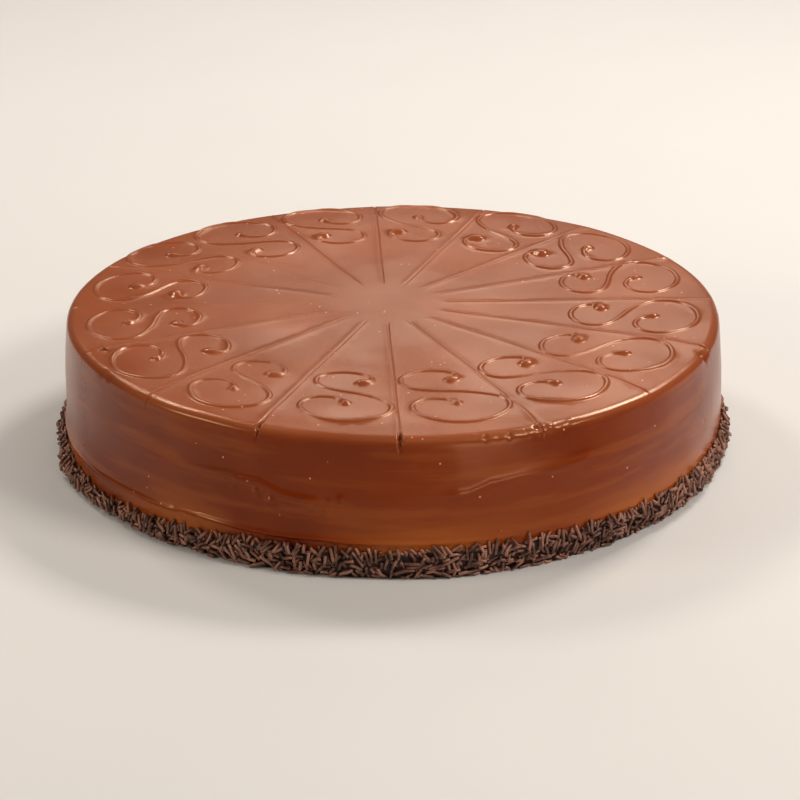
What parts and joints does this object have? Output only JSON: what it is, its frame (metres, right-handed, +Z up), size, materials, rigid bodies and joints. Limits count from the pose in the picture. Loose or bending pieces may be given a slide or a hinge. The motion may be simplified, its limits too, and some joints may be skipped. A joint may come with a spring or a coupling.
{
  "type": "sachertorte cake",
  "caption": "Whole round chocolate-glazed torte, its flat top marked into portions with a raised scroll on each, and a border of chocolate sprinkles round the foot.",
  "frame": {"origin": "middle of the flat base, on the surface the cake stands on", "axes": "+Z up through the middle of the cake, -Y towards the front"},
  "size_m": [0.2756, 0.2747, 0.0576],
  "materials": {
    "chocolate_glaze": "satin chocolate glaze",
    "chocolate_sprinkles": "dull dark chocolate"
  },
  "bodies": {
    "root": {"cake_body": "chocolate_glaze", "sprinkle_border": "chocolate_sprinkles"}
  },
  "joints": []
}
